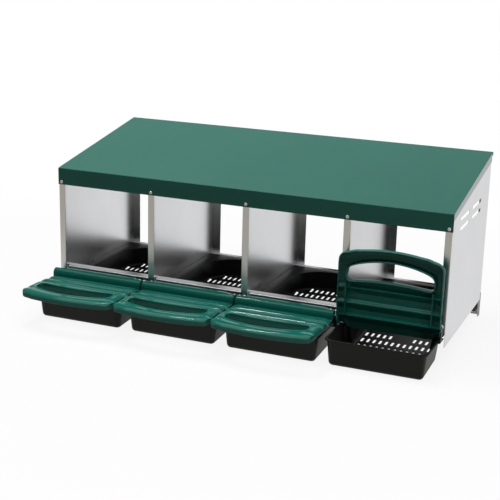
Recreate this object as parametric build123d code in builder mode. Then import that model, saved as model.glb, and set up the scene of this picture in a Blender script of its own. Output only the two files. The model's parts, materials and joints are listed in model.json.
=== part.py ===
"""Four-compartment nesting box with roll-away egg trays and hinged perch lids.

Millimetres. X runs along the front, the front faces -Y, Z is up and the floor is Z = 0.
Depths are measured from the fascia's front face and carried into the frame by face_y.
"""
import os
from math import atan, cos, radians, sin, sqrt, tan

from build123d import *

os.makedirs("parts", exist_ok=True)

# Overall sizes
box_width = 1200.0
roof_depth = 479.0
roof_front_height = 422.0
roof_rear_height = 506.0
fascia_height = 50.0
roof_rear_lip = 12.0
sheet = 1.0

# Compartments and folded posts
bay_count = 4
post_width = 20.0
post_lip = 13.0
post_above_pan = 7.0
panel_bottom = 50.0
rear_flange = 27.0
rear_overhang = 11.0
hem_front = 20.0
hem_rear = 25.0

# Vent slots in the end panels
vent_length = 108.0
vent_height = 10.0
vent_columns = (146.0, 298.0)
vent_rows = (358.0, 386.0)

# Floor slope that rolls the eggs forward
floor_slope = 0.053
land_end = -128.0

# Front sills
sill_bottom = 114.0
sill_top = 128.0
sill_setback = 1.0
sill_depth = 19.0
sill_relief = 26.0
sill_relief_depth = 15.5

# Rear rail and feet
rail_top = 80.0
rail_ledge = 62.0
rail_slack = 0.5
foot_width = 27.0
foot_depth = 35.0
foot_height = 72.0

# Perch lids
lid_gap = 6.45
lid_offset = 1.7
lid_wall = 2.5
lid_reach = 245.0
lid_corner_reach = 223.0
lid_corner_radius = 22.0
lid_inner_corner = 14.0
lid_skirt_drop = 21.0
hinge_set_out = 30.0
barrel_above_rim = 28.0
pin_below_barrel = 10.0
barrel_radius = 15.0
barrel_rear_angle = 60.0
ridge_1_length = 39.0
ridge_2_length = 43.0
valley_1_drop = 10.5
ridge_1_drop = 3.5
valley_2_drop = 8.5
ridge_2_rise = 0.5
valley_3_drop = 5.0
frame_rise_run = 7.0
frame_crest_run = 17.0
frame_crest_rise = 3.0
frame_front_rise = 3.5
skirt_start_gap = 5.0
lid_open_angle = 90.0
open_lids = (4,)

# Handle opening in each lid
handle_from_edge = 25.4
handle_rear_end = 117.0
handle_rear_middle = 126.0
handle_front_end = 155.0
handle_front_middle = 180.0
handle_corner = 12.0
handle_wall_drop = 19.0
side_rib_from_edge = 25.0
side_rib_drop = 18.0

# Hinge pins moulded on the lids, and the ears that hold them
hinge_pin_radius = 4.0
hinge_pin_sides = 16
hinge_pin_play = 0.05
hinge_hub_half = 6.0
hinge_sides = 8
ear_gap = 0.6
ear_thickness = 2.0
ear_half = 9.0
ear_chamfer = 5.0
ear_land_margin = 12.0

# Nest pans: a wide egg tray in front and a narrower bowl with a round end behind it
pan_wall = 2.5
pan_draft = 6.0
pan_front = -148.0
pan_front_corner = 18.0
pan_inner_corner = 12.0
pan_from_lid_edge = 7.4
pan_rim_height = 82.0
tray_rim_drop = 5.0
tray_rim_width = 4.0
tray_rim_corner = 11.0
tray_rear = 10.0
rim_step = 2.0
nest_rim_gap = 0.7
nest_rim_behind = 21.0
bowl_from_rim_edge = 29.4
bowl_from_rim_rear = 23.0
lug_width = 16.0
lug_narrow_width = 12.0
lug_thickness = 1.5
lug_top = 119.0

# Floor slots
slot_count = 12
slot_pitch = 17.5
slot_width = 7.5
slot_length = 22.0
slot_first_row = 20.0
slot_row_pitch = 44.3
slot_rows = (0, 1, 2, 7, 8)
slot_margin = 3.0
short_row = 2
short_row_gap = (5, 6, 7)

# Screws, with flat-sided outlines
screw_head_radius = 4.7
screw_head_height = 2.2
screw_head_sides = 8
screw_radius = 2.0
screw_sides = 6
screw_hole_play = 0.1
screw_hole_reach = 5.0
screw_length = 9.0
fascia_screw_height = 380.0
fascia_screw_from_web = 10.0
post_screw_height = 108.0
post_screw_from_web = 12.0
post_screw_from_right_web = 10.0

# Derived positions
left_x = -box_width / 2
face_y = (lid_reach - roof_depth) / 2
roof_slope = (roof_rear_height - roof_front_height) / roof_depth
roof_angle = atan(roof_slope)
panel_depth = roof_depth - rear_overhang
rail_face = panel_depth - 2 * sheet
post_back = 2 * sheet
post_bottom = pan_rim_height + post_above_pan
tray_rim_height = pan_rim_height - tray_rim_drop
barrel_height = tray_rim_height + barrel_above_rim
hinge_height = barrel_height - pin_below_barrel
sill_face = post_back + sill_setback
bay_pitch = (box_width - 3 * sheet) / bay_count
lid_width = bay_pitch - lid_gap
lid_half = lid_width / 2
web_x = [left_x + sheet + bay_pitch * k for k in range(bay_count + 1)]
bay_centre = [web_x[k] + lid_offset + lid_half for k in range(bay_count)]
valley_1 = barrel_radius
valley_2 = valley_1 + ridge_1_length
valley_3 = valley_2 + ridge_2_length
frame_rise = valley_3 + frame_rise_run
frame_crest = valley_3 + frame_crest_run
skirt_start = barrel_radius + skirt_start_gap
handle_half_width = lid_half - handle_from_edge
ear_inner = lid_half + ear_gap
ear_outer = ear_inner + ear_thickness
ear_land_front = hinge_set_out + ear_land_margin
pan_half_width = lid_half - pan_from_lid_edge
nest_rim_half_width = lid_half + lid_offset - sheet - nest_rim_gap
nest_rim_front = post_back + lug_thickness / 2
nest_rim_rear = rail_face - nest_rim_behind
bowl_half_width = nest_rim_half_width - bowl_from_rim_edge
bowl_centre = nest_rim_rear - bowl_from_rim_rear - bowl_half_width
fascia_bottom = roof_front_height - fascia_height
fascia_screw_x = [x + fascia_screw_from_web for x in web_x[:-1]]
fascia_screw_x.append(web_x[-1] + sheet - fascia_screw_from_web)
post_screw_x = [x + post_screw_from_web for x in web_x[:-1]]
post_screw_x.append(web_x[-1] - post_screw_from_right_web)
draft_run = tan(radians(pan_draft))


def under_roof(depth):
    """Height of the roof sheet's underside at a depth behind the fascia."""
    return roof_front_height + roof_slope * depth - sheet / cos(roof_angle)


def pan_bottom(depth):
    """Height of the pans' sloping underside."""
    return floor_slope * (depth - land_end)


def block(x_pair, depth_pair, z_pair, mode=Mode.ADD):
    """Square block between two X, two depth and two Z values."""
    centre = (sum(x_pair) / 2, face_y + sum(depth_pair) / 2, sum(z_pair) / 2)
    with Locations(centre):
        Box(
            abs(x_pair[1] - x_pair[0]),
            abs(depth_pair[1] - depth_pair[0]),
            abs(z_pair[1] - z_pair[0]),
            mode=mode,
        )


def side_polygon(points):
    """Closed outline from (depth, height) points, on a plane across the box."""
    placed = [(face_y + depth, height) for depth, height in points]
    Polygon(*placed, align=None)


# A screw with its head seated at the origin, and the clearance hole for its shank
with BuildPart() as screw_shape:
    with BuildSketch(Plane.XZ):
        RegularPolygon(screw_head_radius, screw_head_sides)
    extrude(amount=screw_head_height)
    with BuildSketch(Plane.XZ):
        RegularPolygon(screw_radius, screw_sides)
    extrude(amount=-screw_length)

with BuildPart() as screw_hole:
    with BuildSketch(Plane.XZ):
        RegularPolygon(screw_radius + screw_hole_play, screw_sides)
    extrude(amount=screw_hole_reach, both=True)


def screw_holes(spots):
    """Clearance holes for the screw shanks through the front sheets."""
    for x, height in spots:
        with Locations((x, face_y, height)):
            add(screw_hole.part, mode=Mode.SUBTRACT)


def screws(spots, seat_depth):
    """Pan-head screws whose heads seat at one depth."""
    for x, height in spots:
        with Locations((x, face_y + seat_depth, height)):
            add(screw_shape.part)


# Roof: one sheet, with the fascia bent down in front and a short lip at the rear
with BuildPart() as roof_panel:
    with BuildSketch(Plane.YZ.offset(left_x)):
        side_polygon([
            (0, fascia_bottom),
            (0, roof_front_height),
            (roof_depth, roof_rear_height),
            (roof_depth, roof_rear_height - roof_rear_lip),
            (roof_depth - sheet, roof_rear_height - roof_rear_lip),
            (roof_depth - sheet, under_roof(roof_depth - sheet)),
            (sheet, under_roof(sheet)),
            (sheet, fascia_bottom),
        ])
    extrude(amount=box_width)
    screw_holes([(x, fascia_screw_height) for x in fascia_screw_x])
roof_panel.part.label = "roof_panel"
export_step(roof_panel.part, "parts/roof_panel.step")

# End panels: web, folded post, rear flange, hem under the roof edge and vent slots
for name, outer_x, inward, screw_k in (
    ("left_end_panel", left_x, 1, 0),
    ("right_end_panel", -left_x, -1, bay_count),
):
    web_outer = outer_x + inward * sheet
    web_inner = web_outer + inward * sheet
    post_edge = web_outer + inward * post_width
    with BuildPart() as end_panel:
        with BuildSketch(Plane.YZ.offset(min(web_outer, web_inner))):
            side_polygon([
                (sheet, panel_bottom),
                (panel_depth, panel_bottom),
                (panel_depth, under_roof(panel_depth)),
                (sheet, under_roof(sheet)),
            ])
        extrude(amount=sheet)
        with BuildSketch(Plane.YZ.offset(min(outer_x, web_outer))):
            side_polygon([
                (sheet, under_roof(sheet) - hem_front),
                (panel_depth, under_roof(panel_depth) - hem_rear),
                (panel_depth, under_roof(panel_depth)),
                (sheet, under_roof(sheet)),
            ])
        extrude(amount=sheet)
        block((web_outer, post_edge), (sheet, 2 * sheet), (post_bottom, under_roof(sheet)))
        block(
            (post_edge - inward * sheet, post_edge),
            (sheet, sheet + post_lip),
            (post_bottom, under_roof(sheet)),
        )
        block(
            (web_outer, web_outer + inward * rear_flange),
            (panel_depth - sheet, panel_depth),
            (panel_bottom, under_roof(panel_depth - sheet)),
        )
        with BuildSketch(Plane.YZ.offset(min(outer_x, web_inner) - sheet)):
            for column in vent_columns:
                for row in vent_rows:
                    with Locations((face_y + column, row)):
                        Rectangle(vent_length, vent_height)
        extrude(amount=4 * sheet, mode=Mode.SUBTRACT)
        screw_holes([
            (fascia_screw_x[screw_k], fascia_screw_height),
            (post_screw_x[screw_k], post_screw_height),
        ])
    end_panel.part.label = name
    export_step(end_panel.part, f"parts/{name}.step")

# Dividers: the same folds, with the bottom rear corner cut out for the rail
for k in range(1, bay_count):
    with BuildPart() as divider:
        with BuildSketch(Plane.YZ.offset(web_x[k])):
            side_polygon([
                (sheet, panel_bottom),
                (panel_depth, panel_bottom),
                (panel_depth, under_roof(panel_depth)),
                (sheet, under_roof(sheet)),
            ])
        extrude(amount=sheet)
        block((web_x[k], web_x[k] + post_width), (sheet, 2 * sheet), (post_bottom, under_roof(sheet)))
        block(
            (web_x[k] + post_width - sheet, web_x[k] + post_width),
            (sheet, sheet + post_lip),
            (post_bottom, under_roof(sheet)),
        )
        block(
            (web_x[k], web_x[k] + rear_flange),
            (panel_depth - sheet, panel_depth),
            (panel_bottom, under_roof(panel_depth - sheet)),
        )
        block(
            (web_x[k] - sheet, web_x[k] + 2 * sheet),
            (rail_face - rail_slack, panel_depth - sheet),
            (-sheet, rail_top + rail_slack),
            mode=Mode.SUBTRACT,
        )
        screw_holes([
            (fascia_screw_x[k], fascia_screw_height),
            (post_screw_x[k], post_screw_height),
        ])
    divider.part.label = f"divider_{k}"
    export_step(divider.part, f"parts/divider_{k}.step")

# Front sills: folded channel from web to web, relieved where it passes a post
for k in range(bay_count):
    sill_left = web_x[k] + sheet
    sill_right = web_x[k + 1]
    with BuildPart() as front_sill:
        block((sill_left, sill_right), (sill_face, sill_face + sill_depth), (sill_bottom, sill_top))
        block(
            (sill_left - sheet, sill_right + sheet),
            (sill_face + sheet, sill_face + sill_depth - sheet),
            (sill_bottom - sheet, sill_top - sheet),
            mode=Mode.SUBTRACT,
        )
        relieved = [(sill_left - sheet, web_x[k] + sill_relief)]
        if k == bay_count - 1:
            relieved.append((web_x[k + 1] + sheet - sill_relief, sill_right + sheet))
        for span in relieved:
            block(
                span,
                (sill_face - sheet, sill_relief_depth),
                (sill_bottom - sheet, sill_top + sheet),
                mode=Mode.SUBTRACT,
            )
    front_sill.part.label = f"front_sill_{k + 1}"
    export_step(front_sill.part, f"parts/front_sill_{k + 1}.step")

# Rear rail: upright strip with a ledge under the pans
ledge_start = rail_face - rail_ledge
with BuildPart() as rear_rail:
    with BuildSketch(Plane.YZ.offset(web_x[0] + sheet)):
        side_polygon([
            (ledge_start, pan_bottom(ledge_start)),
            (rail_face, pan_bottom(rail_face)),
            (rail_face, rail_top),
            (rail_face + sheet, rail_top),
            (rail_face + sheet, pan_bottom(rail_face) - sheet),
            (ledge_start, pan_bottom(ledge_start) - sheet),
        ])
    extrude(amount=web_x[-1] - web_x[0] - sheet)
rear_rail.part.label = "rear_rail"
export_step(rear_rail.part, "parts/rear_rail.step")

# Rear feet: angles round the rear bottom corners
for name, outer_x, inward in (("rear_foot_left", left_x, 1), ("rear_foot_right", -left_x, -1)):
    with BuildPart() as rear_foot:
        block(
            (outer_x, outer_x + inward * sheet),
            (panel_depth + sheet - foot_depth, panel_depth + sheet),
            (0, foot_height),
        )
        block((outer_x, outer_x + inward * foot_width), (panel_depth, panel_depth + sheet), (0, foot_height))
    rear_foot.part.label = name
    export_step(rear_foot.part, f"parts/{name}.step")

# Drafted tray tubs with rounded front corners and the bowls behind them: outside and inside of the pan
pan_top_plane = Plane.XY.offset(pan_rim_height)
tray_tubs = {}
bowls = {}
for inset in (0, pan_wall):
    with BuildPart() as tub:
        with BuildSketch(pan_top_plane):
            with Locations((0, face_y + (pan_front + tray_rear) / 2)):
                Rectangle(2 * (pan_half_width - inset), tray_rear - pan_front - 2 * inset)
        extrude(amount=-pan_rim_height - sheet)
        draft(tub.faces().filter_by(Axis.Z, reverse=True), pan_top_plane, -pan_draft)
        front_uprights = tub.edges().filter_by(Plane.XY, reverse=True).group_by(Axis.Y)[0]
        if inset:
            chamfer(front_uprights, pan_inner_corner)
        else:
            fillet(front_uprights, pan_front_corner)
    tray_tubs[inset] = tub.part
    top_half = bowl_half_width + pan_wall - inset
    bottom_half = top_half - (pan_rim_height + sheet) * draft_run
    with BuildPart() as bowl:
        with BuildSketch(Plane.XZ.offset(-face_y - bowl_centre)):
            Polygon(
                (-bottom_half, -sheet),
                (bottom_half, -sheet),
                (top_half, pan_rim_height),
                (-top_half, pan_rim_height),
                align=None,
            )
        extrude(amount=bowl_centre - pan_front / 2)
        with Locations((0, face_y + bowl_centre, (pan_rim_height - sheet) / 2)):
            Cone(bottom_half, top_half, pan_rim_height + sheet)
    bowls[inset] = bowl.part

far_front = pan_front - 100
far_rear = rail_face + 100
below = -80.0

# Wedges under the pan's outside and under its sloping floor
wedges = {}
for lift in (0, pan_wall):
    with BuildPart() as wedge:
        with BuildSketch(Plane.YZ.offset(-lid_width)):
            side_polygon([
                (far_front, below),
                (far_rear, below),
                (far_rear, pan_bottom(far_rear) + lift),
                (land_end, lift),
                (far_front, lift),
            ])
        extrude(amount=2 * lid_width)
    wedges[lift] = wedge.part

# The pan itself: tray and bowl with a stepped rim, floor slots and hinge ears
with BuildPart() as pan_shape:
    add(tray_tubs[0])
    add(bowls[0])
    block(
        (-lid_width, lid_width),
        (far_front, rim_step),
        (tray_rim_height, pan_rim_height + sheet),
        Mode.SUBTRACT,
    )
    with BuildSketch(Plane.XY.offset(tray_rim_height)):
        rim_half = pan_half_width + tray_rim_width
        rim_front = face_y + pan_front - tray_rim_width
        Polygon(
            (-rim_half, face_y - ear_land_front),
            (-rim_half, rim_front + tray_rim_corner),
            (-rim_half + tray_rim_corner, rim_front),
            (rim_half - tray_rim_corner, rim_front),
            (rim_half, rim_front + tray_rim_corner),
            (rim_half, face_y - ear_land_front),
            align=None,
        )
    extrude(amount=-pan_wall)
    for side in (-1, 1):
        block(
            (side * (pan_half_width - pan_wall), side * ear_outer),
            (-ear_land_front, sheet),
            (tray_rim_height - pan_wall, tray_rim_height),
        )
    add(wedges[0], mode=Mode.SUBTRACT)
    with BuildPart(mode=Mode.PRIVATE) as tray_hollow:
        add(tray_tubs[pan_wall])
        add(wedges[pan_wall], mode=Mode.SUBTRACT)
    add(tray_hollow.part, mode=Mode.SUBTRACT)
    block(
        (-nest_rim_half_width, nest_rim_half_width),
        (nest_rim_front, nest_rim_rear),
        (pan_rim_height - pan_wall, pan_rim_height),
    )
    with BuildPart(mode=Mode.PRIVATE) as bowl_hollow:
        add(bowls[pan_wall])
        add(wedges[pan_wall], mode=Mode.SUBTRACT)
    add(bowl_hollow.part, mode=Mode.SUBTRACT)
    for side in (-1, 1):
        with BuildSketch(Plane.YZ.offset(min(side * ear_inner, side * ear_outer))):
            side_polygon([
                (-hinge_set_out - ear_half, tray_rim_height),
                (-hinge_set_out + ear_half, tray_rim_height),
                (-hinge_set_out + ear_half, hinge_height + ear_half - ear_chamfer),
                (-hinge_set_out + ear_half - ear_chamfer, hinge_height + ear_half),
                (-hinge_set_out - ear_half + ear_chamfer, hinge_height + ear_half),
                (-hinge_set_out - ear_half, hinge_height + ear_half - ear_chamfer),
            ])
            with Locations((face_y - hinge_set_out, hinge_height)):
                RegularPolygon(
                    hinge_pin_radius + hinge_pin_play,
                    hinge_sides,
                    major_radius=False,
                    mode=Mode.SUBTRACT,
                )
        extrude(amount=ear_thickness)
    with BuildSketch(Plane.XY.offset(below)):
        for row in slot_rows:
            slot_depth = slot_first_row + row * slot_row_pitch
            past_centre = max(0, slot_depth + slot_length / 2 - bowl_centre)
            floor_half = bowl_half_width - (pan_rim_height - pan_bottom(slot_depth)) * draft_run
            half_here = sqrt(max(0, floor_half**2 - past_centre**2))
            for column in range(slot_count):
                slot_x = (column - (slot_count - 1) / 2) * slot_pitch
                left_out = row == short_row and column in short_row_gap
                if left_out or abs(slot_x) + slot_width / 2 + slot_margin > half_here:
                    continue
                with Locations((slot_x, face_y + slot_depth)):
                    Rectangle(slot_width, slot_length)
    extrude(amount=-below + tray_rim_height / 2, mode=Mode.SUBTRACT)

# Each pan has a screw lug in the post on its left, and the last has one on its right too
for k in range(bay_count):
    lugs = [(-1, lug_width, post_screw_x[k])]
    if k == bay_count - 1:
        lugs.append((1, lug_narrow_width, post_screw_x[k + 1]))
    with BuildPart() as nest_pan:
        with Locations((bay_centre[k], 0, 0)):
            add(pan_shape.part)
        for side, width, screw_x in lugs:
            lug_outer = bay_centre[k] + side * nest_rim_half_width
            block(
                (lug_outer - side * width, lug_outer),
                (post_back, post_back + lug_thickness),
                (pan_rim_height - pan_wall, lug_top),
            )
            screw_holes([(screw_x, post_screw_height)])
    nest_pan.part.label = f"nest_pan_{k + 1}"
    export_step(nest_pan.part, f"parts/nest_pan_{k + 1}.step")



# Perch lid, drawn shut about the middle of its barrel: forward distances become -Y
def ridge_points(drop, run_to):
    """Valleys, crests and front of the lid's scalloped top, lowered by a drop."""
    return [
        (-valley_1, -valley_1_drop - drop),
        (-(valley_1 + valley_2) / 2, -ridge_1_drop - drop),
        (-valley_2, -valley_2_drop - drop),
        (-(valley_2 + valley_3) / 2, ridge_2_rise - drop),
        (-valley_3, -valley_3_drop - drop),
        (-frame_rise, -drop),
        (-frame_crest, frame_crest_rise - drop),
        (-run_to, frame_front_rise - drop),
    ]


def barrel_point(radius, angle):
    """Point on the hinge barrel, at an angle behind its top."""
    return (radius * sin(radians(angle)), radius * cos(radians(angle)))


# Plans of the lid with its bowed front edge, full size and inside its walls
lid_outlines = {}
for inset in (0, lid_wall):
    half = lid_half - inset
    corner = hinge_set_out - lid_corner_reach + inset
    middle = hinge_set_out - lid_reach + inset
    back = barrel_radius + sheet
    with BuildSketch(Plane.XY.offset(-2 * lid_skirt_drop)) as outline:
        with BuildLine():
            Line((half, corner), (half, back))
            Line((half, back), (-half, back))
            Line((-half, back), (-half, corner))
            ThreePointArc((-half, corner), (0, middle), (half, corner))
        make_face()
        front_corners = outline.vertices().group_by(Axis.Y)[0]
        if inset:
            chamfer(front_corners, lid_inner_corner)
        else:
            fillet(front_corners, lid_corner_radius)
    lid_outlines[inset] = outline.sketch

# Plans of the handle opening and of the walls round it, both long edges bowed forward
handle_outlines = {}
for grow in (0, lid_wall):
    half = handle_half_width + grow
    rear_end = -handle_rear_end + grow
    front_end = -handle_front_end - grow
    with BuildSketch(Plane.XY.offset(-2 * lid_skirt_drop)) as outline:
        with BuildLine():
            Line((-half, rear_end), (-half, front_end))
            ThreePointArc((-half, front_end), (0, -handle_front_middle - grow), (half, front_end))
            Line((half, front_end), (half, rear_end))
            ThreePointArc((half, rear_end), (0, -handle_rear_middle + grow), (-half, rear_end))
        make_face()
        if not grow:
            fillet(outline.vertices(), handle_corner)
    handle_outlines[grow] = outline.sketch

run_out = lid_reach + 20
skirt_low = -lid_skirt_drop
inner_barrel = barrel_radius - lid_wall
hub_low = -pin_below_barrel - hinge_hub_half

# Space under the lid's skin
with BuildPart() as lid_hollow:
    with BuildSketch(Plane.YZ.offset(-lid_half + lid_wall)):
        with BuildLine():
            Polyline(
                barrel_point(inner_barrel, barrel_rear_angle),
                barrel_point(inner_barrel, 0),
                barrel_point(inner_barrel, -barrel_rear_angle),
                (-inner_barrel, 0),
                (-inner_barrel, -valley_1_drop - lid_wall),
                *ridge_points(lid_wall, run_out),
                (-run_out, 2 * skirt_low),
                (-2 * skirt_low, 2 * skirt_low),
                barrel_point(4 * barrel_radius, barrel_rear_angle),
                barrel_point(inner_barrel, barrel_rear_angle),
            )
        make_face()
    extrude(amount=lid_width - 2 * lid_wall)
    extrude(lid_outlines[lid_wall], amount=4 * lid_skirt_drop, mode=Mode.INTERSECT)

# Everything under the lid's top line, used to trim the walls below the skin
with BuildPart() as lid_under:
    with BuildSketch(Plane.YZ.offset(-lid_half)):
        with BuildLine():
            Polyline(
                *ridge_points(lid_wall / 2, run_out),
                (-run_out, skirt_low),
                (-valley_1, skirt_low),
                close=True,
            )
        make_face()
    extrude(amount=lid_width)

# Walls round the handle opening
with BuildPart() as handle_walls:
    extrude(handle_outlines[lid_wall], amount=4 * lid_skirt_drop)
    with Locations((0, 0, -2 * lid_skirt_drop - handle_wall_drop)):
        Box(lid_width, 3 * lid_reach, 4 * lid_skirt_drop, mode=Mode.SUBTRACT)
    add(lid_under.part, mode=Mode.INTERSECT)

# Ribs inside the two side bars
with BuildPart() as side_ribs:
    for side in (-1, 1):
        rib_x = side * (lid_half - side_rib_from_edge + lid_wall / 2)
        rib_start = -valley_1 - lid_wall
        rib_end = -handle_rear_end
        with Locations((rib_x, (rib_start + rib_end) / 2, 0)):
            Box(lid_wall, rib_start - rib_end, 2 * side_rib_drop)
    add(lid_under.part, mode=Mode.INTERSECT)

# The lid: skin, skirts, barrel ends, handle, ribs and hinge pins
with BuildPart() as lid_shape:
    with BuildSketch(Plane.YZ.offset(-lid_half)):
        with BuildLine():
            top = ridge_points(0, run_out)
            barrel_rear = barrel_point(barrel_radius, barrel_rear_angle)
            ThreePointArc(barrel_rear, (0, barrel_radius), (-barrel_radius, 0))
            Line((-barrel_radius, 0), top[0])
            ThreePointArc(top[0], top[1], top[2])
            ThreePointArc(top[2], top[3], top[4])
            ThreePointArc(top[4], top[5], top[6])
            Polyline(
                top[6],
                top[7],
                (-run_out, skirt_low),
                (-skirt_start, skirt_low),
                (-skirt_start, -valley_1_drop - lid_wall),
                (-inner_barrel, -valley_1_drop - lid_wall),
                (-hinge_hub_half, hub_low),
                (hinge_hub_half, hub_low),
                barrel_rear,
            )
        make_face()
    extrude(amount=lid_width)
    extrude(lid_outlines[0], amount=4 * lid_skirt_drop, mode=Mode.INTERSECT)
    add(lid_hollow.part, mode=Mode.SUBTRACT)
    add(side_ribs.part)
    add(handle_walls.part)
    extrude(handle_outlines[0], amount=4 * lid_skirt_drop, mode=Mode.SUBTRACT)
    for side in (-1, 1):
        with BuildSketch(Plane.YZ.offset(min(side * lid_half, side * ear_outer))):
            with Locations((0, -pin_below_barrel)):
                RegularPolygon(hinge_pin_radius, hinge_pin_sides)
        extrude(amount=ear_outer - lid_half)

for k in range(bay_count):
    turn = -lid_open_angle if k + 1 in open_lids else 0
    with BuildPart() as perch_lid:
        with Locations(Location((bay_centre[k], face_y - hinge_set_out, hinge_height), (turn, 0, 0))):
            with Locations((0, 0, pin_below_barrel)):
                add(lid_shape.part)
    perch_lid.part.label = f"perch_lid_{k + 1}"
    export_step(perch_lid.part, f"parts/perch_lid_{k + 1}.step")

# Screws
with BuildPart() as fascia_screws:
    screws([(x, fascia_screw_height) for x in fascia_screw_x], 0)
fascia_screws.part.label = "fascia_screws"
export_step(fascia_screws.part, "parts/fascia_screws.step")

with BuildPart() as post_screws:
    screws([(x, post_screw_height) for x in post_screw_x], sheet)
post_screws.part.label = "post_screws"
export_step(post_screws.part, "parts/post_screws.step")
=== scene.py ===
"""Nesting box with four egg trays: looks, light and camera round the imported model. Metres."""

import json
from collections import Counter
from math import atan, pi, radians

import bpy
from mathutils import Matrix, Vector


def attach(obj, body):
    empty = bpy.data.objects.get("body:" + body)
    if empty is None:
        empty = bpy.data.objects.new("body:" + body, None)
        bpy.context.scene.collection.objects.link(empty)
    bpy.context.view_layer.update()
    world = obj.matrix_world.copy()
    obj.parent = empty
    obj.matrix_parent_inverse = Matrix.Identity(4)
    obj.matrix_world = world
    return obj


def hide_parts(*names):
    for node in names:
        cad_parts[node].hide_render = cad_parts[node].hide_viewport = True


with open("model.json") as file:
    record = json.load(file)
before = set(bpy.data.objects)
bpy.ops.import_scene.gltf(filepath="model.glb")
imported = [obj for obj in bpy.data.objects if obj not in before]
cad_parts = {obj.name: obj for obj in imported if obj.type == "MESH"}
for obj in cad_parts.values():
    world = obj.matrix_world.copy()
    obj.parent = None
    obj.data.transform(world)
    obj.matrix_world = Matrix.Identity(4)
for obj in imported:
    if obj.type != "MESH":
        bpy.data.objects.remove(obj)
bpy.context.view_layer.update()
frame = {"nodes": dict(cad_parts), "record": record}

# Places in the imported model: the fascia's face, the middles of the bays, their walls and the lids' hinges
face_y = -0.117
bay_x = (-0.4509, -0.15165, 0.1476, 0.44685)
web_x = (-0.5990, -0.29975, -0.0005, 0.29875, 0.5980)
hinge_y = face_y - 0.030
hinge_z = 0.095
pin_drop = 0.010

# Measures of the sheet metal
sheet = 0.001
box_half = 0.600
roof_depth = 0.479
roof_front = 0.422
roof_rear = 0.506
roof_rise = (roof_rear - roof_front) / roof_depth
roof_under = roof_front - 0.00102
fascia_bottom = 0.372
web_front = face_y + sheet
web_rear = face_y + 0.468
web_bottom = 0.050
flange_width = 0.027
post_width = 0.020
post_lip = 0.013
post_bottom = 0.089
vent_length, vent_height = 0.108, 0.011
foot_depth, foot_height = 0.035, 0.072
sill_relief = 0.026
fascia_screw_z, post_screw_z = 0.380, 0.108

# Measures of the mouldings
lid_wall = 0.0026
barrel_end = 0.0147
pin_radius = 0.0039
hole_wall_bottom = -0.0190
rib_bottom = -0.0180
skirt_bottom = -0.0210
pan_wall = 0.0025
pan_rim = 0.082
tray_width, tray_length = 0.273, 0.1555
tray_rear = 0.010
tray_drop = 0.005
tray_corner = 0.0185
bowl_half = 0.117
bowl_length = 0.4105
bowl_corner = 0.1165
floor_front = face_y - 0.128
floor_slope = 0.053
slot_width, slot_length = 0.0080, 0.0290
slot_columns, column_step = 12, 0.0175
slot_rows, row_step = 9, 0.0443


# Handling of pieces while they are modelled
def near(first, second):
    return abs(first - second) < 1e-5


def alone(piece):
    """Makes one object the only selected and active one, in object mode."""
    if bpy.context.object and bpy.context.object.mode != "OBJECT":
        bpy.ops.object.mode_set(mode="OBJECT")
    bpy.ops.object.select_all(action="DESELECT")
    piece.select_set(True)
    bpy.context.view_layer.objects.active = piece


def pick(piece, test, kind="VERT", open_only=False):
    """In edit mode, selects the vertices, edges or faces that lie wholly where the test holds."""
    alone(piece)
    bpy.ops.object.mode_set(mode="EDIT")
    bpy.ops.mesh.select_mode(type=kind)
    bpy.ops.mesh.select_all(action="DESELECT")
    bpy.ops.object.mode_set(mode="OBJECT")
    mesh = piece.data
    inside = [bool(test(v.co)) for v in mesh.vertices]
    if kind == "VERT":
        for v in mesh.vertices:
            v.select = inside[v.index]
    elif kind == "EDGE":
        used = Counter(key for face in mesh.polygons for key in face.edge_keys)
        for edge in mesh.edges:
            lies_in = inside[edge.vertices[0]] and inside[edge.vertices[1]]
            edge.select = lies_in and (not open_only or used[edge.key] < 2)
    else:
        for face in mesh.polygons:
            face.select = all(inside[i] for i in face.vertices)
    bpy.ops.object.mode_set(mode="EDIT")


def pick_edges(piece, test):
    """In edit mode, selects the edges whose two ends together pass the test."""
    pick(piece, lambda co: False, "EDGE")
    bpy.ops.object.mode_set(mode="OBJECT")
    spots = [v.co for v in piece.data.vertices]
    for edge in piece.data.edges:
        edge.select = bool(test(spots[edge.vertices[0]], spots[edge.vertices[1]]))
    bpy.ops.object.mode_set(mode="EDIT")


def move(x=0.0, y=0.0, z=0.0):
    bpy.ops.transform.translate(value=(x, y, z))


def extrude(x=0.0, y=0.0, z=0.0):
    bpy.ops.mesh.extrude_region_move(TRANSFORM_OT_translate={"value": (x, y, z)})


def flatten(height):
    """Presses what is selected flat at one height."""
    bpy.ops.transform.resize(value=(1.0, 1.0, 0.0), center_override=(0.0, 0.0, height))


def place_flat(piece):
    """Puts an object's place, turn and size into its mesh."""
    alone(piece)
    bpy.ops.object.transform_apply(location=True, rotation=True, scale=True)
    return piece


def cube(size, place):
    """A block with its sizes applied, ready to shape."""
    bpy.ops.object.select_all(action="DESELECT")
    bpy.ops.mesh.primitive_cube_add(size=1.0, location=place, scale=size)
    return place_flat(bpy.context.object)


def rod(radius, length, place, turn=(0.0, 0.0, 0.0), sides=32):
    """A round bar with its turn applied, ready to shape."""
    bpy.ops.object.select_all(action="DESELECT")
    bpy.ops.mesh.primitive_cylinder_add(
        radius=radius, depth=length, vertices=sides, location=place, rotation=turn
    )
    return place_flat(bpy.context.object)


def soften(piece, width, segments=2, angle=40.0):
    """Rounds an object's sharp edges."""
    alone(piece)
    bevel = piece.modifiers.new("rounding", "BEVEL")
    bevel.width = width
    bevel.segments = segments
    bevel.limit_method = "ANGLE"
    bevel.angle_limit = radians(angle)
    bpy.ops.object.modifier_apply(modifier=bevel.name)
    return piece


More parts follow.
